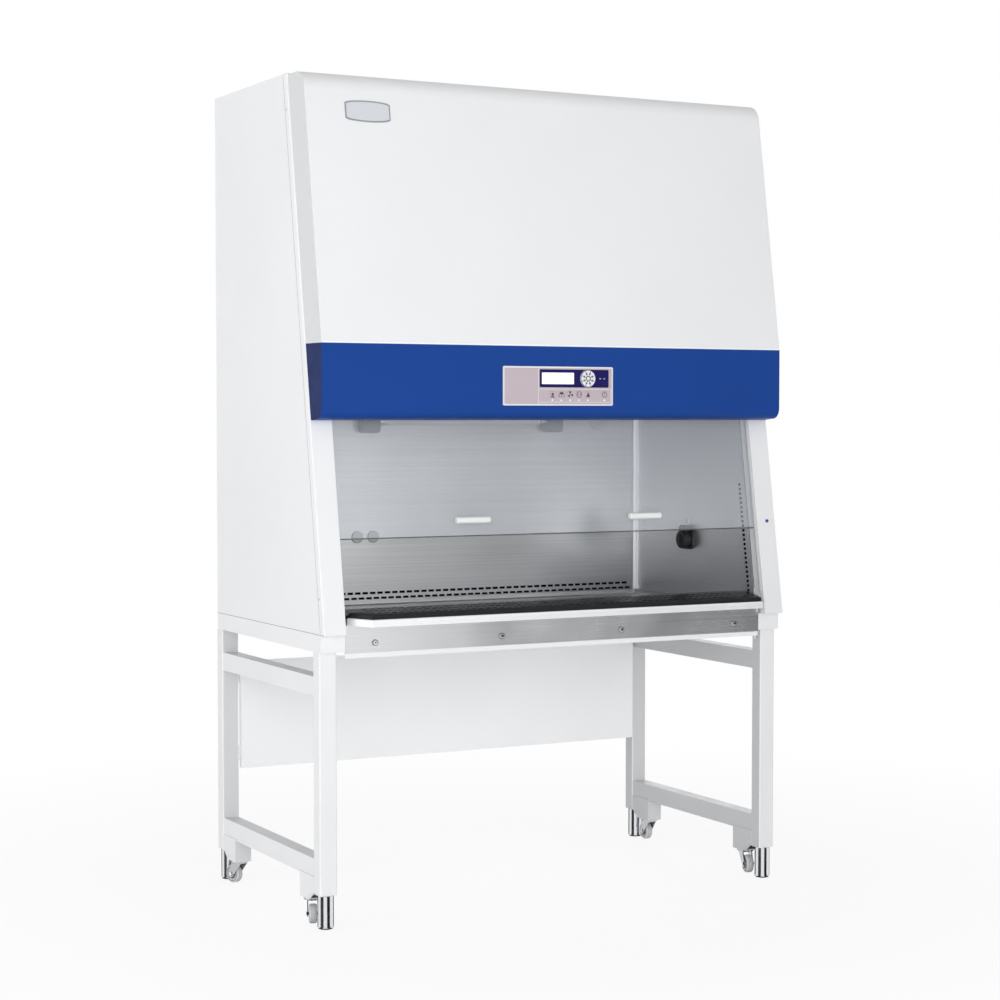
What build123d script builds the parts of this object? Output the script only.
from build123d import *
from math import atan2, cos, hypot, radians, sin, tan
import os

# Class II biological safety cabinet on a wheeled stand.
# Millimetres, +Z up, front towards -Y, origin on the floor under the middle of the footprint.

os.makedirs("parts", exist_ok=True)

# ---------------------------------------------------------------- overall sizes
overall_width = 1340.0
overall_height = 2100.0
overall_depth = 790.0        # from the nose of the sill to the rear legs
nose_reach = 53.0            # the sill's nose stands this far before the casing's foot
wall_gap = 12.0              # the rear legs keep the casing this far from a wall
stand_height = 680.0
base_height = 44.0
slant = 9.25                 # degrees the front leans back

half_width = overall_width / 2
nose_y = -overall_depth / 2
rear_y = overall_depth / 2
back_y = rear_y - wall_gap
foot_y = nose_y + nose_reach
body_z = stand_height + base_height
lean = radians(slant)

# ---------------------------------------------------------------- clearances
slip = 0.3                   # between a moving piece and its neighbour
running_fit = 0.05           # radial, on shafts and pins
sheet = 1.5                  # liner and casing sheet
skin = 2.0                   # front cover, top and sill sheet


def front_at(height, behind=0.0):
    """Y of the pillars' leaning front plane at a height, or of a plane set level behind it."""
    return foot_y + (height - body_z) * tan(lean) + behind


def slope_plane(height, behind=0.0):
    """Plane parallel to the leaning front: local x across, local y up the slope, normal outwards."""
    origin = (0, front_at(height, behind), height)
    return Plane(origin=origin, x_dir=(1, 0, 0), z_dir=(0, -cos(lean), sin(lean)))


def leaning_strip(behind_from, behind_to, low, high):
    """Corners, as (y, z), of a strip that follows the leaning front between two heights."""
    return [
        (front_at(low, behind_from), low),
        (front_at(low, behind_to), low),
        (front_at(high, behind_to), high),
        (front_at(high, behind_from), high),
    ]


def save(piece, name):
    piece.label = name
    export_step(piece, f"parts/{name}.step")


# ---------------------------------------------------------------- base frame under the casing
base_setback = 22.0          # its front stands this far behind the pillars' feet
base_wall = 3.0
side_flange = 64.0
rear_flange = 76.0
front_flange = 40.0
apron_margin = 65.0
apron_drop = 4.0             # the apron hangs this far below the frame
lip_drop = 16.0
apron_width = overall_width - 2 * apron_margin
base_y = foot_y + base_setback

with BuildPart() as base_frame:
    with BuildSketch(Plane.XY.offset(stand_height)):
        with Locations((0, (base_y + back_y) / 2)):
            Rectangle(overall_width, back_y - base_y)
    extrude(amount=base_height)
    with BuildSketch(Plane.XY.offset(stand_height + base_wall)):
        with Locations((0, (base_y + back_y) / 2)):
            Rectangle(overall_width - 2 * base_wall, back_y - base_y - 2 * base_wall - 2 * skin)
    extrude(amount=base_height - 2 * base_wall, mode=Mode.SUBTRACT)
    opening_depth = back_y - rear_flange - base_y - front_flange
    with BuildSketch(Plane.XY.offset(body_z - base_wall)):
        with Locations((0, base_y + front_flange + opening_depth / 2)):
            Rectangle(overall_width - 2 * side_flange, opening_depth)
    extrude(amount=base_wall, mode=Mode.SUBTRACT)
    # recess for the sill's apron, and the lip that shows below it
    with BuildSketch(Plane.XY.offset(stand_height)):
        with Locations((0, base_y + skin / 2)):
            Rectangle(apron_width + 2 * slip, skin)
    extrude(amount=base_height, mode=Mode.SUBTRACT)
    with BuildSketch(Plane.XY.offset(stand_height - lip_drop)):
        with Locations((0, base_y + skin + base_wall / 2)):
            Rectangle(apron_width, base_wall)
    extrude(amount=lip_drop)
save(base_frame.part, "base_frame")

# ---------------------------------------------------------------- casing
pillar_width = 58.0
pillar_depth = 42.0
pillar_wrap = 23.5           # how much of the pillar shows beside the side panel
pillar_round = 3.0
groove_behind = 12.0         # sash groove, behind the pillar's front
glass_thick = 6.0
groove_wide = (glass_thick + 2 * slip) / cos(lean)
groove_deep = 22.0
pillar_wall = 3.0
top_z = overall_height - skin
pillar_x = half_width - pillar_width
screw_head = 4.2
screw_sink = 3.0
side_screw_behind = 17.5
side_screw_low = 86.0        # above the pillar's foot
side_screw_drop = 88.0       # below the pillar's top
side_screw_heights = (body_z + side_screw_low, top_z - side_screw_drop)
shaft_radius = 8.0
shaft_behind = 30.0
shaft_drop = 194.0           # sash balancer shaft below the pillar's top
shaft_seat = 14.0
shaft_z = top_z - shaft_drop
button_radius = 4.5
button_height = 247.0
button_margin = 26.0
button_x = half_width - button_margin

for side, side_name in ((-1, "left"), (1, "right")):
    with BuildPart() as front_pillar:
        with BuildSketch(Plane.YZ.offset(side * pillar_x)):
            with BuildLine():
                Polyline(*leaning_strip(0, pillar_depth, body_z, top_z), close=True)
            make_face()
        extrude(amount=side * pillar_width)
        corners = front_pillar.edges().filter_by(Plane.YZ).filter_by(Axis.Y, reverse=True)
        fillet(max(corners, key=lambda e: side * e.center().X - e.center().Y), pillar_round)
        # rebate for the side panel
        with BuildSketch(Plane.YZ.offset(side * (half_width - sheet))):
            with BuildLine():
                Polyline(*leaning_strip(pillar_wrap, pillar_depth, body_z, top_z), close=True)
            make_face()
        extrude(amount=side * sheet, mode=Mode.SUBTRACT)
        # groove that the sash slides in
        with BuildSketch(Plane.YZ.offset(side * pillar_x)):
            with BuildLine():
                Polyline(*leaning_strip(groove_behind, groove_behind + groove_wide, body_z, top_z),
                         close=True)
            make_face()
        extrude(amount=side * groove_deep, mode=Mode.SUBTRACT)
        # hollow of the column, open under the top panel
        with BuildSketch(Plane.YZ.offset(side * (pillar_x + groove_deep + pillar_wall))):
            with BuildLine():
                Polyline(*leaning_strip(pillar_wall, pillar_depth - pillar_wall,
                                        body_z + pillar_wall, top_z), close=True)
            make_face()
        hollow_width = pillar_width - groove_deep - 2 * pillar_wall - sheet
        extrude(amount=side * hollow_width, mode=Mode.SUBTRACT)
        # seat of the balancer shaft
        with BuildSketch(Plane.YZ.offset(side * pillar_x)):
            with Locations((front_at(shaft_z, shaft_behind), shaft_z)):
                Circle(shaft_radius + running_fit)
        extrude(amount=side * shaft_seat, mode=Mode.SUBTRACT)
        # counterbores of the side screws
        with BuildSketch(Plane.YZ.offset(side * half_width)):
            for screw_z in side_screw_heights:
                with Locations((front_at(screw_z, side_screw_behind), screw_z)):
                    Circle(screw_head)
        extrude(amount=-side * screw_sink, mode=Mode.SUBTRACT)
        if side > 0:
            with BuildSketch(slope_plane(body_z + button_height)):
                with Locations((button_x, 0)):
                    Circle(button_radius + slip)
            extrude(amount=-pillar_wall * 2, mode=Mode.SUBTRACT)
    save(front_pillar.part, f"front_pillar_{side_name}")

    with BuildPart() as side_panel:
        with BuildSketch(Plane.YZ.offset(side * (half_width - sheet))):
            with BuildLine():
                Polyline(
                    (front_at(body_z, pillar_wrap), body_z),
                    (back_y, body_z),
                    (back_y, top_z),
                    (front_at(top_z, pillar_wrap), top_z),
                    close=True,
                )
            make_face()
        extrude(amount=side * sheet)
    save(side_panel.part, f"side_panel_{side_name}")

inlet_margin = 170.0         # from the side of the casing
inlet_drop = 248.0           # below the top panel
inlet_wide = 28.0
inlet_tall = 20.0
inlet_x = inlet_margin - half_width
inlet_z = top_z - inlet_drop

with BuildPart() as back_panel:
    with BuildSketch(Plane.XZ.offset(-back_y)):
        with Locations((0, (body_z + top_z) / 2)):
            Rectangle(overall_width - 2 * sheet, top_z - body_z)
        with Locations((inlet_x, inlet_z)):
            Rectangle(inlet_wide, inlet_tall, mode=Mode.SUBTRACT)
    extrude(amount=sheet)
save(back_panel.part, "back_panel")

inlet_flange = 8.0
inlet_corner = 4.0
inlet_shell = 2.0
inlet_depth = 32.0
inlet_pocket = 16.0
prong_wide = 2.0
prong_tall = 6.0
prong_long = 12.0
prong_pitch = 7.0

with BuildPart() as power_inlet:
    with BuildSketch(Plane.XZ.offset(-back_y)):
        with Locations((inlet_x, inlet_z)):
            RectangleRounded(inlet_wide + 2 * inlet_flange, inlet_tall + 2 * inlet_flange,
                             inlet_corner)
    extrude(amount=-skin)
    with BuildSketch(Plane.XZ.offset(-back_y)):
        with Locations((inlet_x, inlet_z)):
            Rectangle(inlet_wide, inlet_tall)
    extrude(amount=inlet_depth)
    with BuildSketch(Plane.XZ.offset(-back_y - skin)):
        with Locations((inlet_x, inlet_z)):
            RectangleRounded(inlet_wide - 2 * inlet_shell, inlet_tall - 2 * inlet_shell,
                             inlet_corner - inlet_shell / 2)
    extrude(amount=inlet_pocket, mode=Mode.SUBTRACT)
    with BuildSketch(Plane.XZ.offset(-back_y - skin + inlet_pocket)):
        with Locations((inlet_x, inlet_z)):
            with GridLocations(prong_pitch, 1, 3, 1):
                Rectangle(prong_wide, prong_tall)
    extrude(amount=-prong_long)
save(power_inlet.part, "power_inlet")

# ---------------------------------------------------------------- air path above the work chamber
liner_margin = 60.0
chamber_height = 676.0       # from the casing's foot to the ceiling
return_duct = 68.0           # air space behind the rear wall
liner_half = half_width - liner_margin          # inner faces of the side walls
liner_rear_y = back_y - return_duct             # face of the rear wall
liner_top = body_z + chamber_height
filter_thick = 70.0
filter_rim = 20.0
filter_margin = 14.0
pleat_pitch = 50.0
pleat_thick = 1.0
plenum_margin = 70.0
plenum_deep = 341.0
exhaust_space = 42.0         # between the exhaust filter and the top panel
exhaust_long = 600.0
exhaust_wide = 320.0
diffuser_front = front_at(liner_top, pillar_depth + sheet)
filter_z = liner_top + sheet
plenum_z = filter_z + filter_thick
exhaust_z = top_z - exhaust_space - filter_thick
plenum_half = liner_half - plenum_margin


def pleat_profile(length, height):
    """Closed zigzag of the folded filter paper, as (x, z) about its middle."""
    folds = int(length / pleat_pitch) * 2
    step = length / folds
    crest = [(-length / 2 + i * step, height * (i % 2)) for i in range(folds + 1)]
    return crest + [(x, z + pleat_thick) for x, z in reversed(crest)]


def make_filter(name, low, centre_y, length, depth):
    """Filter with a square rim and pleated paper across it."""
    with BuildPart() as air_filter:
        with BuildSketch(Plane.XY.offset(low)):
            with Locations((0, centre_y)):
                Rectangle(length, depth)
                Rectangle(length - 2 * filter_rim, depth - 2 * filter_rim, mode=Mode.SUBTRACT)
        extrude(amount=filter_thick)
        pleat_depth = depth - 2 * filter_rim
        pleats = pleat_profile(length - 2 * filter_rim, filter_thick - filter_rim)
        with BuildSketch(Plane.XZ.offset(-(centre_y + pleat_depth / 2))):
            with BuildLine():
                Polyline(*[(x, low + filter_rim / 2 + z) for x, z in pleats], close=True)
            make_face()
        extrude(amount=pleat_depth)
    save(air_filter.part, name)


supply_front = diffuser_front + filter_margin
supply_depth = liner_rear_y - filter_margin - supply_front
make_filter("supply_filter", filter_z, supply_front + supply_depth / 2,
            2 * (liner_half - filter_margin), supply_depth)
plenum_rear = liner_rear_y - filter_margin
plenum_front = plenum_rear - plenum_deep
plenum_mid = (plenum_front + plenum_rear) / 2
make_filter("exhaust_filter", exhaust_z, plenum_mid, exhaust_long, exhaust_wide)

diffuser_columns = 13
diffuser_rows = 6
diffuser_slot = 60.0
diffuser_slot_wide = 8.0
diffuser_margin = 50.0       # plain strip at each end
diffuser_border = 30.0       # plain strip along the front and the rear

with BuildPart() as ceiling_diffuser:
    with BuildSketch(Plane.XY.offset(liner_top)):
        with Locations((0, (diffuser_front + liner_rear_y + sheet) / 2)):
            Rectangle(2 * (liner_half + sheet), liner_rear_y + sheet - diffuser_front)
        with Locations((0, supply_front + supply_depth / 2)):
            with GridLocations(
                2 * (liner_half - diffuser_margin) / diffuser_columns,
                (supply_depth - 2 * diffuser_border) / diffuser_rows,
                diffuser_columns, diffuser_rows,
            ):
                Rectangle(diffuser_slot, diffuser_slot_wide, mode=Mode.SUBTRACT)
    extrude(amount=sheet)
save(ceiling_diffuser.part, "ceiling_diffuser")

fan_radius = 140.0
fan_eye = 92.0
fan_deep = 96.0
fan_plate = 3.0
fan_blades = 8
blade_thick = 2.5
hub_radius = 26.0
hub_long = 30.0
motor_shaft = 7.5
motor_radius = 55.0
motor_long = 90.0
motor_gap = 6.0              # between the motor and the fan's back plate
motor_round = 8.0
bracket_wide = 165.0
bracket_corner = 12.0
bracket_thick = 4.0
pedestal_radius = 38.5
pedestal_lap = 10.0
fan_gap = 8.0                # between the fan and the rear of its box
ring_radius = 82.0
ring_deep = 18.0
blade_root = 2.0             # outside the fan's eye
blade_bow = (22.0, 26.0)     # out from the eye, and round
blade_tip = (12.0, 62.0)     # in from the rim, and round
fan_z = (plenum_z + exhaust_z) / 2
fan_front = plenum_rear - skin - fan_gap - fan_deep     # plane of the fan's back plate

with BuildPart() as blower_box:
    with BuildSketch(Plane.XY.offset(plenum_z)):
        with Locations((0, plenum_mid)):
            Rectangle(2 * plenum_half, plenum_rear - plenum_front)
    extrude(amount=exhaust_z - plenum_z)
    with BuildSketch(Plane.XY.offset(plenum_z)):
        with Locations((0, plenum_mid)):
            Rectangle(2 * (plenum_half - skin), plenum_rear - plenum_front - 2 * skin)
    extrude(amount=exhaust_z - plenum_z - skin, mode=Mode.SUBTRACT)
    # outlet to the exhaust filter
    with BuildSketch(Plane.XY.offset(exhaust_z - skin)):
        with Locations((0, plenum_mid)):
            Rectangle(exhaust_long - 2 * filter_rim, exhaust_wide - 2 * filter_rim)
    extrude(amount=skin, mode=Mode.SUBTRACT)
    # flared inlet ring of the blower in the rear wall
    with BuildSketch(Plane.XZ.offset(-plenum_rear)):
        with Locations((0, fan_z)):
            Circle(ring_radius)
    extrude(amount=skin, mode=Mode.SUBTRACT)
    with BuildSketch(Plane.XZ.offset(-plenum_rear + skin)):
        with Locations((0, fan_z)):
            Circle(ring_radius + skin)
            Circle(ring_radius, mode=Mode.SUBTRACT)
    extrude(amount=ring_deep)
save(blower_box.part, "blower_box")

with BuildPart() as blower_impeller:
    with BuildSketch(Plane.XZ.offset(-fan_front)):
        with Locations((0, fan_z)):
            Circle(fan_radius)
            Circle(motor_shaft + running_fit, mode=Mode.SUBTRACT)
    extrude(amount=-fan_plate)
    with BuildSketch(Plane.XZ.offset(-fan_front)):
        with Locations((0, fan_z)):
            Circle(hub_radius)
            Circle(motor_shaft + running_fit, mode=Mode.SUBTRACT)
    extrude(amount=-hub_long)
    with BuildSketch(Plane.XZ.offset(-fan_front - fan_deep + fan_plate)):
        with Locations((0, fan_z)):
            Circle(fan_radius)
            Circle(fan_eye, mode=Mode.SUBTRACT)
    extrude(amount=-fan_plate)
    # backward-curved blades between the plates
    blade_arc = ThreePointArc(
        (fan_eye + blade_root, 0),
        (fan_eye + blade_bow[0], blade_bow[1]),
        (fan_radius - blade_tip[0], blade_tip[1]),
        mode=Mode.PRIVATE,
    )
    with BuildSketch(Plane.XZ.offset(-fan_front - fan_plate)):
        with Locations((0, fan_z)):
            with PolarLocations(0, fan_blades):
                SlotArc(blade_arc, blade_thick)
    extrude(amount=-(fan_deep - 2 * fan_plate))
save(blower_impeller.part, "blower_impeller")

motor_front = fan_front - motor_gap - motor_long
with BuildPart() as blower_motor:
    with BuildSketch(Plane.XZ.offset(-motor_front)):
        with Locations((0, fan_z)):
            Circle(motor_radius)
    extrude(amount=-motor_long)
    fillet(blower_motor.edges().filter_by(GeomType.CIRCLE), motor_round)
    with BuildSketch(Plane.XZ.offset(-motor_front - motor_long)):
        with Locations((0, fan_z)):
            Circle(motor_shaft)
    extrude(amount=-(motor_gap + hub_long))
    # bracket to the front wall of the blower box
    with BuildSketch(Plane.XZ.offset(-plenum_front - skin)):
        with Locations((0, fan_z)):
            RectangleRounded(bracket_wide, bracket_wide, bracket_corner)
    extrude(amount=-bracket_thick)
    with BuildSketch(Plane.XZ.offset(-plenum_front - skin)):
        with Locations((0, fan_z)):
            Circle(pedestal_radius)
    extrude(amount=-(motor_front + pedestal_lap - plenum_front - skin))
save(blower_motor.part, "blower_motor")

exhaust_slot = 250.0
exhaust_slot_wide = 9.0
exhaust_slot_rows = 12
exhaust_slot_gap = 16.0

with BuildPart() as top_panel:
    with BuildSketch(Plane.XY.offset(top_z)):
        with Locations((0, (front_at(top_z) + back_y) / 2)):
            Rectangle(overall_width, back_y - front_at(top_z))
        with Locations((0, plenum_mid)):
            with GridLocations(exhaust_slot + exhaust_slot_gap,
                               (exhaust_wide - 2 * filter_rim) / exhaust_slot_rows,
                               2, exhaust_slot_rows):
                Rectangle(exhaust_slot, exhaust_slot_wide, mode=Mode.SUBTRACT)
    extrude(amount=skin)
    # collar that clamps the exhaust filter
    with BuildSketch(Plane.XY.offset(exhaust_z + filter_thick)):
        with Locations((0, plenum_mid)):
            Rectangle(exhaust_long, exhaust_wide)
            Rectangle(exhaust_long - 2 * skin, exhaust_wide - 2 * skin, mode=Mode.SUBTRACT)
    extrude(amount=top_z - exhaust_z - filter_thick)
save(top_panel.part, "top_panel")

# ---------------------------------------------------------------- front cover and control band
cover_inset = 3.0            # from the side of the casing
cover_proud = 97.0           # level distance in front of the pillars
cover_rise = 30.0            # above the ceiling of the work chamber
cover_drop = 4.0             # below the top of the casing
cover_roll = 50.0
band_tall = 187.0
band_rise = 6.0              # the underside climbs this much towards the front
band_roll = 28.0
band_skin = 2.5
cover_half = half_width - cover_inset
cover_bottom = liner_top + cover_rise
cover_top = overall_height - cover_drop
band_bottom = cover_bottom - band_tall

with BuildPart() as front_cover:
    with BuildSketch(Plane.YZ.offset(-cover_half)):
        with BuildLine():
            Polyline(
                (front_at(cover_bottom), cover_bottom),
                (front_at(cover_bottom, -cover_proud), cover_bottom),
                (front_at(cover_top, -cover_proud), cover_top),
                (front_at(cover_top), cover_top),
                close=True,
            )
        make_face()
    extrude(amount=2 * cover_half)
    top_front = front_cover.edges().filter_by(Axis.X).group_by(Axis.Z)[-1].sort_by(Axis.Y)[0]
    fillet(top_front, cover_roll)
    back_face = front_cover.faces().filter_by(lambda f: f.normal_at().Y > 0.9).sort_by(Axis.Y)[-1]
    bottom_face = front_cover.faces().sort_by(Axis.Z)[0]
    offset(amount=-skin, openings=[back_face, bottom_face])
save(front_cover.part, "front_cover")

band_front = front_at(cover_bottom, -cover_proud)
with BuildPart() as control_band:
    with BuildSketch(Plane.YZ.offset(-cover_half)):
        with BuildLine():
            Polyline(
                (front_at(cover_bottom), cover_bottom),
                (band_front, cover_bottom),
                (band_front, band_bottom + band_rise),
                (front_at(band_bottom), band_bottom),
                close=True,
            )
        make_face()
    extrude(amount=2 * cover_half)
    lower_front = control_band.edges().filter_by(Axis.X).sort_by(Axis.Y)[0:2].sort_by(Axis.Z)[0]
    fillet(lower_front, band_roll)
    back_face = control_band.faces().filter_by(lambda f: f.normal_at().Y > 0.9).sort_by(Axis.Y)[-1]
    top_face = control_band.faces().sort_by(Axis.Z)[-1]
    offset(amount=-band_skin, openings=[back_face, top_face])
save(control_band.part, "control_band")

# ---------------------------------------------------------------- control panel
plate_x = -15.0
plate_wide = 320.0
plate_tall = 99.0
plate_drop = 100.5           # heights below the band's top
plate_thick = 2.5
plate_corner = 4.0
window_x = 31.0
window_drop = 81.0
window_corner = 3.0
window_wide = 202.0
window_tall = 45.0
window_proud = 0.4
lcd_x = -17.0
lcd_wide = 95.0
lcd_tall = 31.0
lcd_sink = 0.4
lcd_corner = 1.5
pad_x = 70.0
pad_radius = 23.0
pad_proud = 1.6
pad_step = 2.0               # the stem is this much smaller than the pad
pad_edge = 1.0
pad_dish = 8.3
pad_dish_deep = 0.5
field_x = 32.0
field_drop = 127.5
field_wide = 208.0
field_tall = 34.0
field_sink = 0.5
key_wide = 17.0
key_tall = 13.0
key_proud = 1.0
key_travel = 0.8
key_clear = 0.1              # left behind a pressed key
key_edge = 0.6
key_drop = 121.5
key_pitch = 26.0
first_key_x = -33.0
power_key_x = 120.0
key_round = 2.0
plate_z = cover_bottom - plate_drop
window_z = cover_bottom - window_drop
field_z = cover_bottom - field_drop
key_z = cover_bottom - key_drop
key_back = band_front - key_travel - key_clear
key_places = [(first_key_x + i * key_pitch, f"function_key_{i + 1}") for i in range(5)]
key_places.append((power_key_x, "power_key"))
band_face = Plane.XZ.offset(-band_front)

with BuildPart() as control_plate:
    with BuildSketch(band_face):
        with Locations((plate_x, plate_z)):
            RectangleRounded(plate_wide, plate_tall, plate_corner)
        with Locations((window_x, window_z)):
            RectangleRounded(window_wide + 2 * slip, window_tall + 2 * slip, window_corner,
                             mode=Mode.SUBTRACT)
        for key_x, key_name in key_places:
            with Locations((key_x, key_z)):
                RectangleRounded(key_wide + 2 * slip, key_tall + 2 * slip, key_round,
                                 mode=Mode.SUBTRACT)
    extrude(amount=plate_thick)
    with BuildSketch(band_face.offset(plate_thick - field_sink)):
        with Locations((field_x, field_z)):
            Rectangle(field_wide, field_tall)
    extrude(amount=field_sink, mode=Mode.SUBTRACT)
save(control_plate.part, "control_plate")

with BuildPart() as display_window:
    with BuildSketch(band_face):
        with Locations((window_x, window_z)):
            RectangleRounded(window_wide, window_tall, window_corner)
        with Locations((pad_x, window_z)):
            Circle(pad_radius - pad_step + slip, mode=Mode.SUBTRACT)
    extrude(amount=plate_thick + window_proud)
    with BuildSketch(band_face.offset(plate_thick + window_proud - lcd_sink)):
        with Locations((lcd_x, window_z)):
            RectangleRounded(lcd_wide, lcd_tall, lcd_corner)
    extrude(amount=lcd_sink, mode=Mode.SUBTRACT)
save(display_window.part, "display_window")

for key_x, key_name in key_places:
    with BuildPart() as key:
        with BuildSketch(band_face.offset(band_front - key_back)):
            with Locations((key_x, key_z)):
                RectangleRounded(key_wide, key_tall, key_round)
        extrude(amount=plate_thick + key_proud - (band_front - key_back))
        fillet(key.faces().sort_by(Axis.Y)[0].edges(), key_edge)
    save(key.part, key_name)

with BuildPart() as menu_pad:
    with BuildSketch(band_face.offset(band_front - key_back)):
        with Locations((pad_x, window_z)):
            Circle(pad_radius - pad_step)
    extrude(amount=plate_thick + window_proud - (band_front - key_back) + key_travel + slip)
    with BuildSketch(band_face.offset(plate_thick + window_proud + key_travel + slip)):
        with Locations((pad_x, window_z)):
            Circle(pad_radius)
    extrude(amount=pad_proud)
    fillet(menu_pad.faces().sort_by(Axis.Y)[0].edges(), pad_edge)
    # dished middle of the pad
    with BuildSketch(band_face.offset(plate_thick + window_proud + key_travel + slip + pad_proud)):
        with Locations((pad_x, window_z)):
            Circle(pad_dish)
    extrude(amount=-pad_dish_deep, mode=Mode.SUBTRACT)
save(menu_pad.part, "menu_pad")

button_proud = 2.0
button_edge = 0.8
with BuildPart() as pillar_button:
    with BuildSketch(slope_plane(body_z + button_height)):
        with Locations((button_x, 0)):
            Circle(button_radius)
    extrude(amount=button_proud)
    fillet(pillar_button.edges(), button_edge)
    with BuildSketch(slope_plane(body_z + button_height)):
        with Locations((button_x, 0)):
            Circle(button_radius)
    extrude(amount=-2 * pillar_wall)
save(pillar_button.part, "pillar_button")

# ---------------------------------------------------------------- work chamber
tray_rise = 9.0              # above the casing's foot
tray_rim = 12.0
tray_gap = 4.0
tray_setback = 144.0         # behind the front of the base
tray_corner = 12.0
tray_round = 5.0
tray_floor = body_z + tray_rise
tray_front = base_y + tray_setback
ledge_wide = 20.0
post_leg = 15.0
slot_pitch = 22.5
slot_long = 17.0
slot_tall = 6.5
slot_rows = (32.5, 18.0)     # heights above the work surface
slot_margin = 20.0
wall_hole_long = 12.0
wall_hole_tall = 7.0
wall_hole_pitch = 12.4
wall_hole_rise = 37.0        # heights above the work surface
wall_hole_count = 25
wall_hole_behind = 67.0
plug_rise = 188.0
plug_x = (-289.0, -241.0)
plug_radius = 16.5
plug_stem = 12.0
plug_thick = 6.0
plug_reach = 8.0             # of the stems through the wall
plug_round = 1.5
sensor_margin = 132.0        # from the side wall
sensor_drop = 158.0          # below the ceiling
sensor_radius = 29.0
sensor_thick = 5.0
side_front_low = front_at(body_z, pillar_depth)
side_front_top = front_at(liner_top, pillar_depth)
slot_count = int(2 * (liner_half - slot_margin) / slot_pitch)
plug_z = tray_floor + plug_rise
sensor_x = liner_half - sensor_margin
sensor_z = liner_top - sensor_drop

with BuildPart() as rear_wall:
    with BuildSketch(Plane.XZ.offset(-liner_rear_y)):
        with Locations((0, (body_z + liner_top) / 2)):
            Rectangle(2 * liner_half, liner_top - body_z)
        for row, row_rise in enumerate(slot_rows):
            with Locations((slot_pitch * (row / 2 - 0.25), tray_floor + row_rise)):
                with GridLocations(slot_pitch, 1, slot_count, 1):
                    Rectangle(slot_long, slot_tall, mode=Mode.SUBTRACT)
        for stem_x in plug_x:
            with Locations((stem_x, plug_z)):
                Circle(plug_stem, mode=Mode.SUBTRACT)
    extrude(amount=-sheet)
    # bright corner posts that close the joint with the side walls
    with BuildSketch(Plane.XY.offset(tray_floor + 2 * tray_rim)):
        for side in (-1, 1):
            with Locations((side * (liner_half - post_leg / 2), liner_rear_y - sheet / 2)):
                Rectangle(post_leg, sheet)
            with Locations((side * (liner_half - sheet / 2), liner_rear_y - post_leg / 2)):
                Rectangle(sheet, post_leg)
    extrude(amount=liner_top - tray_floor - 2 * tray_rim)
save(rear_wall.part, "rear_wall")

with BuildPart() as wall_plugs:
    with BuildSketch(Plane.XZ.offset(-liner_rear_y)):
        for stem_x in plug_x:
            with Locations((stem_x, plug_z)):
                Circle(plug_radius)
    extrude(amount=plug_thick)
    with BuildSketch(Plane.XZ.offset(-liner_rear_y)):
        with Locations((sensor_x, sensor_z)):
            Circle(sensor_radius)
    extrude(amount=sensor_thick)
    fillet(wall_plugs.faces().filter_by(Axis.Y).group_by(Axis.Y)[0].edges(), plug_round)
    fillet(wall_plugs.faces().filter_by(Axis.Y).group_by(Axis.Y)[1].edges(), plug_round)
    with BuildSketch(Plane.XZ.offset(-liner_rear_y)):
        for stem_x in plug_x:
            with Locations((stem_x, plug_z)):
                Circle(plug_stem)
    extrude(amount=-plug_reach)
save(wall_plugs.part, "wall_plugs")

for side, side_name in ((-1, "left"), (1, "right")):
    with BuildPart() as inner_wall:
        with BuildSketch(Plane.YZ.offset(side * liner_half)):
            with BuildLine():
                Polyline(
                    (side_front_low, body_z),
                    (liner_rear_y + sheet, body_z),
                    (liner_rear_y + sheet, liner_top),
                    (side_front_top, liner_top),
                    close=True,
                )
            make_face()
            # column of sampling holes that follows the leaning edge
            for i in range(wall_hole_count):
                hole_z = tray_floor + wall_hole_rise + i * wall_hole_pitch
                with Locations((front_at(hole_z, wall_hole_behind), hole_z)):
                    Rectangle(wall_hole_long, wall_hole_tall, mode=Mode.SUBTRACT)
        extrude(amount=side * sheet)
        # front flange against the pillar, and the ledge that carries the work surface
        with BuildSketch(Plane.YZ.offset(side * liner_half)):
            with BuildLine():
                Polyline(*leaning_strip(pillar_depth, pillar_depth + sheet, body_z, liner_top),
                         close=True)
            make_face()
        extrude(amount=side * (half_width - liner_half - 2 * sheet))
        with BuildSketch(Plane.YZ.offset(side * liner_half)):
            with Locations(((tray_front + liner_rear_y) / 2, tray_floor - 1.5 * sheet)):
                Rectangle(liner_rear_y - tray_front, sheet)
        extrude(amount=-side * ledge_wide)
    save(inner_wall.part, f"inner_wall_{side_name}")

with BuildPart() as work_surface:
    tray_wide = 2 * (liner_half - tray_gap)
    tray_deep = liner_rear_y - slip - tray_front
    with BuildSketch(Plane.XY.offset(tray_floor - sheet)):
        with Locations((0, tray_front + tray_deep / 2)):
            RectangleRounded(tray_wide, tray_deep, tray_corner)
    extrude(amount=tray_rim + sheet)
    with BuildSketch(Plane.XY.offset(tray_floor)):
        with Locations((0, tray_front + tray_deep / 2)):
            RectangleRounded(tray_wide - 2 * sheet, tray_deep - 2 * sheet, tray_corner - sheet)
    extrude(amount=tray_rim, mode=Mode.SUBTRACT)
    floor_edges = work_surface.faces().filter_by(Axis.Z).sort_by(Axis.Z)[1].edges()
    fillet(floor_edges, tray_round)
save(work_surface.part, "work_surface")

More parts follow.
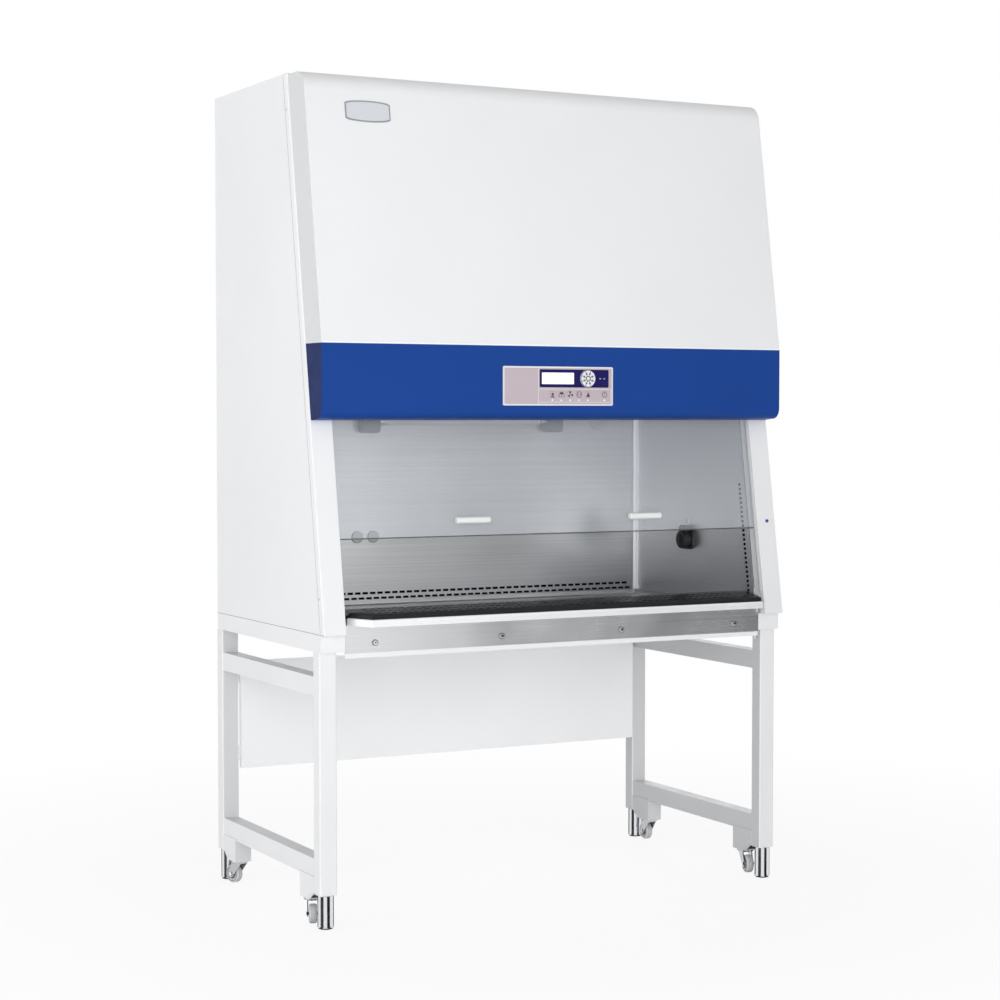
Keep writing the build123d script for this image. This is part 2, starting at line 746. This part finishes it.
# ---------------------------------------------------------------- sill, grille and arm rest
nose_margin = 42.0           # from the side wall to the nose's straight front
nose_root_margin = 10.0      # from the side wall to where the nose meets the casing
nose_root_sink = 3.0
nose_rise = 21.0             # above the casing's foot
nose_thick = 18.0
nose_round = 4.0
apron_top_inset = 4.0
nose_half = liner_half - nose_margin
nose_root_half = liner_half - nose_root_margin
nose_root_y = base_y + nose_root_sink
nose_low = body_z + nose_rise
nose_top = nose_low + nose_thick
apron_top_half = nose_root_half - apron_top_inset
rest_inset = 4.0
rest_wide = 36.0
rest_thick = 12.0
rest_round = 5.0


def nose_outline(inset):
    """Plan of the nose, drawn in by the same amount along its front and its bevelled ends."""
    run = hypot(nose_root_half - nose_half, nose_root_y - nose_y)
    shift = inset * run / (nose_root_y - nose_y)
    turn = inset * tan(atan2(nose_root_y - nose_y, nose_root_half - nose_half) / 2)
    front_half = nose_half - turn
    return [
        (-nose_root_half + shift, nose_root_y),
        (-front_half, nose_y + inset),
        (front_half, nose_y + inset),
        (nose_root_half - shift, nose_root_y),
    ]


with BuildPart() as sill_panel:
    with BuildSketch(Plane.XY.offset(nose_low)):
        with BuildLine():
            Polyline(*nose_outline(0), close=True)
        make_face()
    extrude(amount=nose_top - nose_low)
    front_edges = sill_panel.edges().filter_by(Axis.Z).sort_by(Axis.Y)[0:2]
    fillet(front_edges, nose_round)
    rim = sill_panel.faces().sort_by(Axis.Z)[-1].edges().sort_by(Axis.Y)[0:-1]
    fillet(rim, nose_round)
    with BuildSketch(Plane.XY.offset(nose_low)):
        with BuildLine():
            Polyline(*nose_outline(nose_round), close=True)
        make_face()
    extrude(amount=nose_top - nose_low - skin, mode=Mode.SUBTRACT)
    with BuildSketch(Plane.XZ.offset(-base_y)):
        with Locations((0, (stand_height - apron_drop + nose_low) / 2)):
            Rectangle(apron_width, nose_low - stand_height + apron_drop)
        with Locations((0, (nose_low + nose_top - skin) / 2)):
            Rectangle(2 * apron_top_half, nose_top - skin - nose_low)
    extrude(amount=-skin)
save(sill_panel.part, "sill_panel")

with BuildPart() as arm_rest:
    with BuildSketch(Plane.XY.offset(nose_top)):
        with BuildLine():
            Polyline(*nose_outline(rest_inset), close=True)
        make_face()
        with BuildLine():
            Polyline(*nose_outline(rest_inset + rest_wide), close=True)
        make_face(mode=Mode.SUBTRACT)
    extrude(amount=rest_thick)
    fillet(arm_rest.faces().sort_by(Axis.Z)[-1].edges().filter_by(
        lambda e: e.center().Y < nose_root_y - slip), rest_round)
save(arm_rest.part, "arm_rest")

grille_gap = 1.0
crest_rise = 55.0            # above the casing's foot
crest_setback = 58.0         # behind the front of the base
crest_deep = 40.0
crest_round = 12.0
grille_lip = nose_top + sheet
grille_crest = body_z + crest_rise
crest_front_y = base_y + crest_setback
crest_rear_y = crest_front_y + crest_deep
grille_rear_y = tray_front + 2 * sheet
grille_pitch = 20.0
grille_slot = 13.0
grille_slot_wide = 5.0
grille_rows = 3
grille_row_pitch = 22.0
grille_row_setback = 30.0
grille_blanks = 2            # slots left out at the ends

with BuildPart() as front_grille:
    tongue = nose_outline(rest_inset + rest_wide + grille_gap)
    arch = [
        (tongue[1][1], grille_lip),
        (crest_front_y, grille_crest),
        (crest_rear_y, grille_crest),
        (grille_rear_y, tray_floor + tray_rim + sheet),
    ]
    with BuildSketch(Plane.YZ.offset(-liner_half)):
        with BuildLine():
            Polyline(*arch, *[(y, z - sheet) for y, z in reversed(arch)], close=True)
        make_face()
    extrude(amount=2 * liner_half)
    crest_edges = front_grille.edges().filter_by(Axis.X).filter_by_position(
        Axis.Y, crest_front_y - slip, crest_rear_y + slip)
    fillet(crest_edges.group_by(Axis.Z)[-1], crest_round)
    with BuildSketch(Plane.XY.offset(body_z)):
        with BuildLine():
            Polyline(*tongue, close=True)
        make_face()
        inside_half = liner_half - grille_gap
        with Locations((0, (nose_root_y + grille_gap + grille_rear_y) / 2)):
            Rectangle(2 * inside_half, grille_rear_y - nose_root_y - grille_gap)
        with Locations((0, nose_root_y)):
            Rectangle(2 * tongue[3][0], 4 * grille_gap)
    extrude(amount=crest_rise + sheet, mode=Mode.INTERSECT)
    # suction slots
    with BuildSketch(Plane.XY.offset(body_z)):
        with Locations((0, base_y + grille_row_setback)):
            with GridLocations(grille_pitch, grille_row_pitch,
                               int(2 * nose_half / grille_pitch) - grille_blanks, grille_rows):
                Rectangle(grille_slot, grille_slot_wide)
    extrude(amount=crest_rise + sheet, mode=Mode.SUBTRACT)
save(front_grille.part, "front_grille")

# ---------------------------------------------------------------- sash
sash_rise = 228.0            # glass's lower edge above the casing's foot at rest
glass_long = 500.0
glass_edge = 4.0             # between the glass and the bottom of its groove
glass_corner = 3.0
glass_behind = groove_behind + slip / cos(lean)
glass_half = pillar_x + groove_deep - glass_edge
handle_x = 252.0
handle_long = 95.0
handle_radius = 9.0
handle_rise = 38.0           # above the glass's lower edge, along the slope
handle_reach = 25.0          # from the glass to the middle of the bar
handle_post = 4.0
handle_round = 3.0
clamp_tall = 26.0
clamp_wall = 3.0
clamp_round = 1.0
clamp_margin = 12.0
clamp_half = pillar_x - clamp_margin
sash_open = body_z + sash_rise
glass_front = slope_plane(sash_open, glass_behind)

with BuildPart() as sash_glass:
    with BuildSketch(glass_front):
        with Locations((0, glass_long / 2)):
            RectangleRounded(2 * glass_half, glass_long, glass_corner)
    extrude(amount=-glass_thick)
save(sash_glass.part, "sash_glass")

with BuildPart() as sash_handles:
    for side in (-1, 1):
        bar_end = side * handle_x - handle_long / 2
        bar_plane = Plane(origin=glass_front.from_local_coords((bar_end, handle_rise, handle_reach)),
                          x_dir=glass_front.z_dir, z_dir=(1, 0, 0))
        with BuildSketch(bar_plane):
            Circle(handle_radius)
        extrude(amount=handle_long)
    fillet(sash_handles.edges().filter_by(GeomType.CIRCLE), handle_round)
    with BuildSketch(glass_front):
        for side in (-1, 1):
            for post in (-1, 1):
                with Locations((side * handle_x + post * handle_long / 3, handle_rise)):
                    Circle(handle_post)
    extrude(amount=handle_reach)
save(sash_handles.part, "sash_handles")

with BuildPart() as sash_clamp:
    with BuildSketch(glass_front.offset(clamp_wall)):
        with Locations((0, glass_long + clamp_wall - clamp_tall / 2)):
            Rectangle(2 * clamp_half, clamp_tall)
    extrude(amount=-(glass_thick + 2 * clamp_wall))
    fillet(sash_clamp.edges().filter_by(Axis.X), clamp_round)
    with BuildSketch(glass_front):
        with Locations((0, glass_long / 2)):
            Rectangle(2 * clamp_half, glass_long)
    extrude(amount=-glass_thick, mode=Mode.SUBTRACT)
save(sash_clamp.part, "sash_clamp")

drum_radius = 40.0
drum_wide = 26.0
drum_flange = 3.0
drum_lip = 4.0
drum_inset = 72.0            # from the pillar
drum_x = pillar_x - drum_inset
shaft_end = 1.0
with BuildPart() as sash_balancer:
    with BuildSketch(Plane.YZ.offset(-(pillar_x + shaft_seat - shaft_end))):
        with Locations((front_at(shaft_z, shaft_behind), shaft_z)):
            Circle(shaft_radius)
    extrude(amount=2 * (pillar_x + shaft_seat - shaft_end))
    for side in (-1, 1):
        for along, radius in (
            (-drum_wide / 2, drum_radius + drum_lip),
            (drum_wide / 2 - drum_flange, drum_radius + drum_lip),
            (-drum_wide / 2, drum_radius),
        ):
            with BuildSketch(Plane.YZ.offset(side * drum_x + along)):
                with Locations((front_at(shaft_z, shaft_behind), shaft_z)):
                    Circle(radius)
            extrude(amount=drum_wide if radius == drum_radius else drum_flange)
save(sash_balancer.part, "sash_balancer")

# ---------------------------------------------------------------- lamps and socket outlet
uv_x = (-258.0, 317.0)
uv_socket_wide = 54.0
uv_socket_tall = 56.0
uv_socket_deep = 34.0
uv_socket_drop = 193.0       # its foot below the ceiling
uv_socket_corner = 11.0
uv_socket_round = 4.0
uv_tube_rise = 33.6          # above the socket's foot
tube_radius = 13.0
lamp_drop = 28.0             # below the ceiling
lamp_behind = 84.0
lamp_socket_long = 16.0
lamp_socket_side = 40.0
lamp_socket_corner = 8.0
uv_socket_low = liner_top - uv_socket_drop
uv_tube_z = uv_socket_low + uv_tube_rise
uv_tube_y = liner_rear_y - uv_socket_deep / 2
lamp_z = liner_top - lamp_drop
lamp_y = front_at(lamp_z, lamp_behind)

with BuildPart() as lamp_sockets:
    with BuildSketch(Plane.XZ.offset(-liner_rear_y)):
        for socket_x in uv_x:
            with Locations((socket_x, uv_socket_low + uv_socket_tall / 2)):
                RectangleRounded(uv_socket_wide, uv_socket_tall, uv_socket_corner)
    extrude(amount=uv_socket_deep)
    fillet(lamp_sockets.faces().filter_by(Axis.Y).group_by(Axis.Y)[0].edges(), uv_socket_round)
    with BuildSketch(Plane.YZ.offset(uv_x[0])):
        with Locations((uv_tube_y, uv_tube_z)):
            Circle(tube_radius)
    extrude(amount=uv_x[1] - uv_x[0], mode=Mode.SUBTRACT)
    for side in (-1, 1):
        with BuildSketch(Plane.YZ.offset(side * liner_half)):
            with Locations((lamp_y, lamp_z)):
                RectangleRounded(lamp_socket_side, lamp_socket_side, lamp_socket_corner)
        extrude(amount=-side * lamp_socket_long)
save(lamp_sockets.part, "lamp_sockets")

with BuildPart() as lamp_tubes:
    with BuildSketch(Plane.YZ.offset(uv_x[0])):
        with Locations((uv_tube_y, uv_tube_z)):
            Circle(tube_radius)
    extrude(amount=uv_x[1] - uv_x[0])
    with BuildSketch(Plane.YZ.offset(-liner_half + lamp_socket_long)):
        with Locations((lamp_y, lamp_z)):
            Circle(tube_radius)
    extrude(amount=2 * (liner_half - lamp_socket_long))
save(lamp_tubes.part, "lamp_tubes")

outlet_reach = 279.0         # before the rear wall
outlet_rise = 173.0          # above the work surface
outlet_radius = 25.0
outlet_margin = 3.0
outlet_corner = 12.0
outlet_base = 5.0
outlet_deep = 19.0
outlet_well = 14.0
outlet_wall = 3.5
contact_circle = 9.0
contact_wide = 3.0
contact_tall = 7.0
contact_deep = 3.0
lid_thick = 7.0
lid_lap = 1.0
lid_round = 5.0
lid_pin = 3.0
lid_pin_long = 26.0
ear_wide = 6.0
knuckle_wall = 2.5
strap_drop = 7.0
strap_tall = 19.0
rib_wide = 6.0
rib_long = 38.0
rib_deep = 7.0
rib_proud = 5.0
rib_drop = 4.0
rib_corner = 3.0
hinge_back = 4.0             # the pin stands this far behind the lid's back
hinge_rise = 9.0             # above the barrel
outlet_y = liner_rear_y - outlet_reach
outlet_z = tray_floor + outlet_rise
lid_x = liner_half - outlet_deep - slip          # back of the lid
hinge_x = lid_x + hinge_back
hinge_z = outlet_z + outlet_radius + hinge_rise

with BuildPart() as socket_body:
    with BuildSketch(Plane.YZ.offset(liner_half)):
        with Locations((outlet_y, outlet_z)):
            RectangleRounded(2 * (outlet_radius + outlet_margin), 2 * (outlet_radius + outlet_margin),
                             outlet_corner)
    extrude(amount=-outlet_base)
    with BuildSketch(Plane.YZ.offset(liner_half)):
        with Locations((outlet_y, outlet_z)):
            Circle(outlet_radius)
    extrude(amount=-outlet_deep)
    with BuildSketch(Plane.YZ.offset(liner_half - outlet_deep)):
        with Locations((outlet_y, outlet_z)):
            Circle(outlet_radius - outlet_wall)
    extrude(amount=outlet_well, mode=Mode.SUBTRACT)
    # contact slots in the floor of the well
    with BuildSketch(Plane.YZ.offset(liner_half - outlet_deep + outlet_well)):
        for angle in (90, 210, 330):
            with Locations((outlet_y + contact_circle * cos(radians(angle)),
                            outlet_z + contact_circle * sin(radians(angle)))):
                Rectangle(contact_wide, contact_tall)
    extrude(amount=contact_deep, mode=Mode.SUBTRACT)
    # two ears for the lid's pin
    with BuildSketch(Plane.XY.offset(outlet_z + outlet_radius - ear_wide)):
        for side in (-1, 1):
            with Locations((liner_half - (outlet_deep + outlet_base) / 2,
                            outlet_y + side * (lid_pin_long - ear_wide) / 2)):
                Rectangle(outlet_deep - outlet_base, ear_wide)
    extrude(amount=hinge_z - outlet_z - outlet_radius + 2 * ear_wide)
    with BuildSketch(Plane.XZ.offset(-outlet_y - lid_pin_long / 2)):
        with Locations((hinge_x, hinge_z)):
            Circle(lid_pin + running_fit)
    extrude(amount=lid_pin_long, mode=Mode.SUBTRACT)
save(socket_body.part, "socket_body")

with BuildPart() as socket_lid:
    with BuildSketch(Plane.YZ.offset(lid_x)):
        with Locations((outlet_y, outlet_z)):
            Circle(outlet_radius + lid_lap)
    extrude(amount=-lid_thick)
    fillet(socket_lid.faces().sort_by(Axis.X)[0].edges(), lid_round)
    tab = lid_pin_long - 2 * ear_wide - 2 * slip
    with BuildSketch(Plane.XZ.offset(-outlet_y - tab / 2)):
        with Locations((hinge_x, hinge_z)):
            Circle(lid_pin + knuckle_wall)
        with Locations((lid_x - lid_thick / 2, hinge_z - strap_drop)):
            Rectangle(lid_thick, strap_tall)
    extrude(amount=tab)
    with BuildSketch(Plane.XZ.offset(-outlet_y - lid_pin_long / 2)):
        with Locations((hinge_x, hinge_z)):
            Circle(lid_pin)
    extrude(amount=lid_pin_long)
    # finger rib down the front of the lid
    with BuildSketch(Plane.XZ.offset(-outlet_y - rib_wide / 2)):
        with Locations((lid_x - lid_thick - rib_proud + rib_deep / 2, outlet_z - rib_drop)):
            RectangleRounded(rib_deep, rib_long, rib_corner)
    extrude(amount=rib_wide)
save(socket_lid.part, "socket_lid")

# ---------------------------------------------------------------- stand
leg_wide = 46.0
leg_deep = 40.0
leg_inset = 2.0              # from the side of the casing
leg_setback = 14.0           # behind the base frame's front
leg_bottom = 84.0
leg_wall = 2.0
leg_round = 4.0
nut_plate = 8.0
stud_radius = 6.0
rail_wide = 40.0
rail_tall = 48.0
lower_rail_z = 122.0
upper_rail_drop = 110.0      # below the casing
block_side = 0.5             # caster boxes are narrower than the legs by this, each side
block_long = 88.0
block_bottom = 64.0
block_mouth = 30.0           # how far the open end leans back towards the leg
block_heel = 87.0            # height at which the open end meets the leg
block_lap = 4.0              # over the rail
block_wall = 2.5
block_plate = 4.0
kingpin_radius = 5.0
kingpin_long = 22.0
kingpin_clear = 2.0          # above the pin's end
kingpin_boss = 10.0
caster_from_foot = 80.0
leg_x = half_width - leg_inset - leg_wide / 2
front_leg_y = base_y + leg_setback + leg_deep / 2
rear_leg_y = rear_y - leg_deep / 2
upper_rail_z = stand_height - upper_rail_drop
foot_places = [(front_leg_y, 1, "front"), (rear_leg_y, -1, "rear")]

for side, side_name in ((-1, "left"), (1, "right")):
    with BuildPart() as stand_side:
        with BuildSketch(Plane.XY.offset(leg_bottom)):
            for leg_y, inward, end_name in foot_places:
                with Locations((side * leg_x, leg_y)):
                    RectangleRounded(leg_wide, leg_deep, leg_round)
        extrude(amount=stand_height - leg_bottom)
        for rail_z in (lower_rail_z, upper_rail_z):
            with BuildSketch(Plane.XY.offset(rail_z)):
                with Locations((side * leg_x, (front_leg_y + rear_leg_y) / 2)):
                    Rectangle(rail_wide, rear_leg_y - front_leg_y)
            extrude(amount=rail_tall)
        # folded boxes beside the legs that carry the casters, open towards the leg
        block_half = leg_wide / 2 - block_side
        for leg_y, inward, end_name in foot_places:
            face_y = leg_y + inward * leg_deep / 2
            with BuildSketch(Plane.YZ.offset(side * leg_x - block_half)):
                with BuildLine():
                    Polyline(
                        (face_y, block_heel),
                        (face_y + inward * block_mouth, block_bottom),
                        (face_y + inward * block_long, block_bottom),
                        (face_y + inward * block_long, lower_rail_z + block_lap),
                        (face_y, lower_rail_z + block_lap),
                        close=True,
                    )
                make_face()
            extrude(amount=2 * block_half)
            inside_long = block_long - block_wall
            inside_tall = lower_rail_z - block_bottom - block_plate
            with BuildSketch(Plane.YZ.offset(side * leg_x - block_half + block_wall)):
                with Locations((face_y + inward * inside_long / 2, lower_rail_z - inside_tall / 2)):
                    Rectangle(inside_long, inside_tall)
            extrude(amount=2 * (block_half - block_wall), mode=Mode.SUBTRACT)
            with BuildSketch(Plane.XY.offset(block_bottom)):
                with Locations((side * leg_x, leg_y + inward * caster_from_foot)):
                    Circle(kingpin_boss)
            extrude(amount=kingpin_long + kingpin_clear)
        # hollow legs and rails
        with BuildSketch(Plane.XY.offset(leg_bottom + nut_plate)):
            for leg_y, inward, end_name in foot_places:
                with Locations((side * leg_x, leg_y)):
                    Rectangle(leg_wide - 2 * leg_wall, leg_deep - 2 * leg_wall)
        extrude(amount=stand_height - leg_bottom - nut_plate - leg_wall, mode=Mode.SUBTRACT)
        for rail_z in (lower_rail_z, upper_rail_z):
            with BuildSketch(Plane.XY.offset(rail_z + leg_wall)):
                with Locations((side * leg_x, (front_leg_y + rear_leg_y) / 2)):
                    Rectangle(rail_wide - 2 * leg_wall, rear_leg_y - front_leg_y)
            extrude(amount=rail_tall - 2 * leg_wall, mode=Mode.SUBTRACT)
        with BuildSketch(Plane.XY.offset(leg_bottom)):
            for leg_y, inward, end_name in foot_places:
                with Locations((side * leg_x, leg_y)):
                    Circle(stud_radius + running_fit)
        extrude(amount=nut_plate, mode=Mode.SUBTRACT)
        with BuildSketch(Plane.XY.offset(block_bottom)):
            for leg_y, inward, end_name in foot_places:
                with Locations((side * leg_x, leg_y + inward * caster_from_foot)):
                    Circle(kingpin_radius + running_fit)
        extrude(amount=kingpin_long + kingpin_clear, mode=Mode.SUBTRACT)
    save(stand_side.part, f"stand_side_{side_name}")

panel_gap = 10.0             # before the rear legs
panel_drop = 88.0            # below the casing
panel_tall = 290.0
panel_side_gap = 6.0
panel_flange = 20.0
panel_corner = 3.0
tab_tall = 40.0
tab_wide = 24.0
panel_y = rear_y - leg_deep - panel_gap
panel_high = stand_height - panel_drop
panel_low = panel_high - panel_tall
leg_inner_x = leg_x - leg_wide / 2
with BuildPart() as stand_back_panel:
    panel_wide = 2 * (leg_inner_x - panel_side_gap)
    with BuildSketch(Plane.XZ.offset(-panel_y)):
        with Locations((0, (panel_low + panel_high) / 2)):
            RectangleRounded(panel_wide, panel_tall, panel_corner)
    extrude(amount=-panel_flange)
    offset(amount=-sheet, openings=stand_back_panel.faces().sort_by(Axis.Y)[-1])
    # tabs that bolt to the legs
    with BuildSketch(Plane.XZ.offset(-panel_y - panel_flange)):
        for side in (-1, 1):
            for tab_z in (panel_low + tab_tall, panel_high - tab_tall):
                with Locations((side * (leg_inner_x - tab_wide / 2), tab_z)):
                    Rectangle(tab_wide, tab_tall)
    extrude(amount=2 * sheet)
save(stand_back_panel.part, "stand_back_panel")

screw_radius = 6.0
screw_proud = 4.0
screw_round = 2.0
apron_screw_margin = 79.0
apron_screw_rise = 20.0      # above the stand
apron_screw_count = 4
leg_bolt_drop = 24.0         # below the casing
leg_bolt_z = stand_height - leg_bolt_drop
with BuildPart() as screws:
    with BuildSketch(Plane.XZ.offset(-base_y)):
        with Locations((0, stand_height + apron_screw_rise)):
            with GridLocations((apron_width - 2 * apron_screw_margin) / (apron_screw_count - 1), 1,
                               apron_screw_count, 1):
                Circle(screw_radius)
    extrude(amount=screw_proud)
    fillet(screws.faces().filter_by(Axis.Y).group_by(Axis.Y)[0].edges(), screw_round)
    for side in (-1, 1):
        with BuildSketch(Plane.YZ.offset(side * (half_width - screw_sink))):
            for screw_z in side_screw_heights:
                with Locations((front_at(screw_z, side_screw_behind), screw_z)):
                    Circle(screw_head - slip)
        extrude(amount=side * screw_sink)
        with BuildSketch(Plane.YZ.offset(side * leg_inner_x)):
            for leg_y, inward, end_name in foot_places:
                with Locations((leg_y, leg_bolt_z)):
                    Circle(screw_radius)
        extrude(amount=-side * screw_proud)
save(screws.part, "screws")

# ---------------------------------------------------------------- levelling feet
foot_radius = 20.0
pad_high = 8.0
pad_round = 6.0
pad_groove = 1.0
stud_long = 60.0
foot_edge = 1.0
foot_top = leg_bottom - slip

for side, side_name in ((-1, "left"), (1, "right")):
    for leg_y, inward, end_name in foot_places:
        foot_floor = Plane(origin=(side * leg_x, leg_y, 0))
        with BuildPart() as levelling_foot:
            with BuildSketch(foot_floor):
                Circle(foot_radius)
            extrude(amount=pad_high)
            fillet(levelling_foot.faces().sort_by(Axis.Z)[0].edges(), pad_round)
            with BuildSketch(foot_floor.offset(pad_high)):
                Circle(foot_radius - pad_groove)
            extrude(amount=pad_groove)
            with BuildSketch(foot_floor.offset(pad_high + pad_groove)):
                Circle(foot_radius)
            extrude(amount=foot_top - pad_high - pad_groove)
            chamfer(levelling_foot.faces().sort_by(Axis.Z)[-1].edges(), foot_edge)
            with BuildSketch(foot_floor.offset(foot_top)):
                Circle(stud_radius)
            extrude(amount=stud_long)
        save(levelling_foot.part, f"levelling_foot_{end_name}_{side_name}")

# ---------------------------------------------------------------- casters
wheel_radius = 24.0
wheel_wide = 20.0
wheel_lift = 2.0             # the cabinet stands on its feet, the wheels just clear the floor
wheel_round = 5.0
wheel_pocket = 3.0           # depth of the web's recess
wheel_tread = 8.0            # of the rim outside the recess
wheel_hub = 8.0
axle_radius = 4.0
axle_head = 2.0
trail = 20.0
cheek_gap = 1.5
cheek_thick = 2.5
cheek_eye = 9.0
swivel_radius = 23.0
swivel_thick = 6.0
swivel_round = 2.0
cheek_root = 32.0            # length of the cheek where it leaves the swivel
swivel_top = block_bottom - slip
caster_turn = {
    ("front", "left"): 248.0,
    ("front", "right"): 256.0,
    ("rear", "left"): 113.0,
    ("rear", "right"): 87.0,
}
axle_z = wheel_radius + wheel_lift

for side, side_name in ((-1, "left"), (1, "right")):
    for leg_y, inward, end_name in foot_places:
        turn = radians(caster_turn[(end_name, side_name)])
        ahead = Vector(cos(turn), sin(turn), 0)
        across = Vector(sin(turn), -cos(turn), 0)
        pivot = Vector(side * leg_x, leg_y + inward * caster_from_foot, 0)
        wheel_side = Plane(origin=pivot, x_dir=ahead, z_dir=across)
        with BuildPart() as caster_fork:
            with BuildSketch(Plane(origin=pivot + Vector(0, 0, swivel_top - swivel_thick))):
                Circle(swivel_radius)
            extrude(amount=swivel_thick)
            fillet(caster_fork.faces().sort_by(Axis.Z)[0].edges(), swivel_round)
            with BuildSketch(Plane(origin=pivot + Vector(0, 0, swivel_top))):
                Circle(kingpin_radius)
            extrude(amount=kingpin_long)
            for cheek in (-1, 1):
                inner = cheek * (wheel_wide / 2 + cheek_gap)
                with BuildSketch(wheel_side.offset(inner)):
                    with Locations((trail, axle_z)):
                        Circle(cheek_eye)
                    with Locations((0, swivel_top - swivel_thick)):
                        Rectangle(cheek_root, swivel_round)
                    make_hull()
                extrude(amount=cheek * cheek_thick)
            axle_half = wheel_wide / 2 + cheek_gap + cheek_thick + axle_head
            with BuildSketch(wheel_side.offset(-axle_half)):
                with Locations((trail, axle_z)):
                    Circle(axle_radius)
            extrude(amount=2 * axle_half)
        save(caster_fork.part, f"caster_fork_{end_name}_{side_name}")

        with BuildPart() as caster_wheel:
            with BuildSketch(wheel_side.offset(-wheel_wide / 2)):
                with Locations((trail, axle_z)):
                    Circle(wheel_radius)
            extrude(amount=wheel_wide)
            fillet(caster_wheel.edges().filter_by(GeomType.CIRCLE), wheel_round)
            for face in (-1, 1):
                with BuildSketch(wheel_side.offset(face * wheel_wide / 2)):
                    with Locations((trail, axle_z)):
                        Circle(wheel_radius - wheel_tread)
                        Circle(wheel_hub, mode=Mode.SUBTRACT)
                extrude(amount=-face * wheel_pocket, mode=Mode.SUBTRACT)
            with BuildSketch(wheel_side.offset(-wheel_wide / 2)):
                with Locations((trail, axle_z)):
                    Circle(axle_radius + running_fit)
            extrude(amount=wheel_wide, mode=Mode.SUBTRACT)
        save(caster_wheel.part, f"caster_wheel_{end_name}_{side_name}")
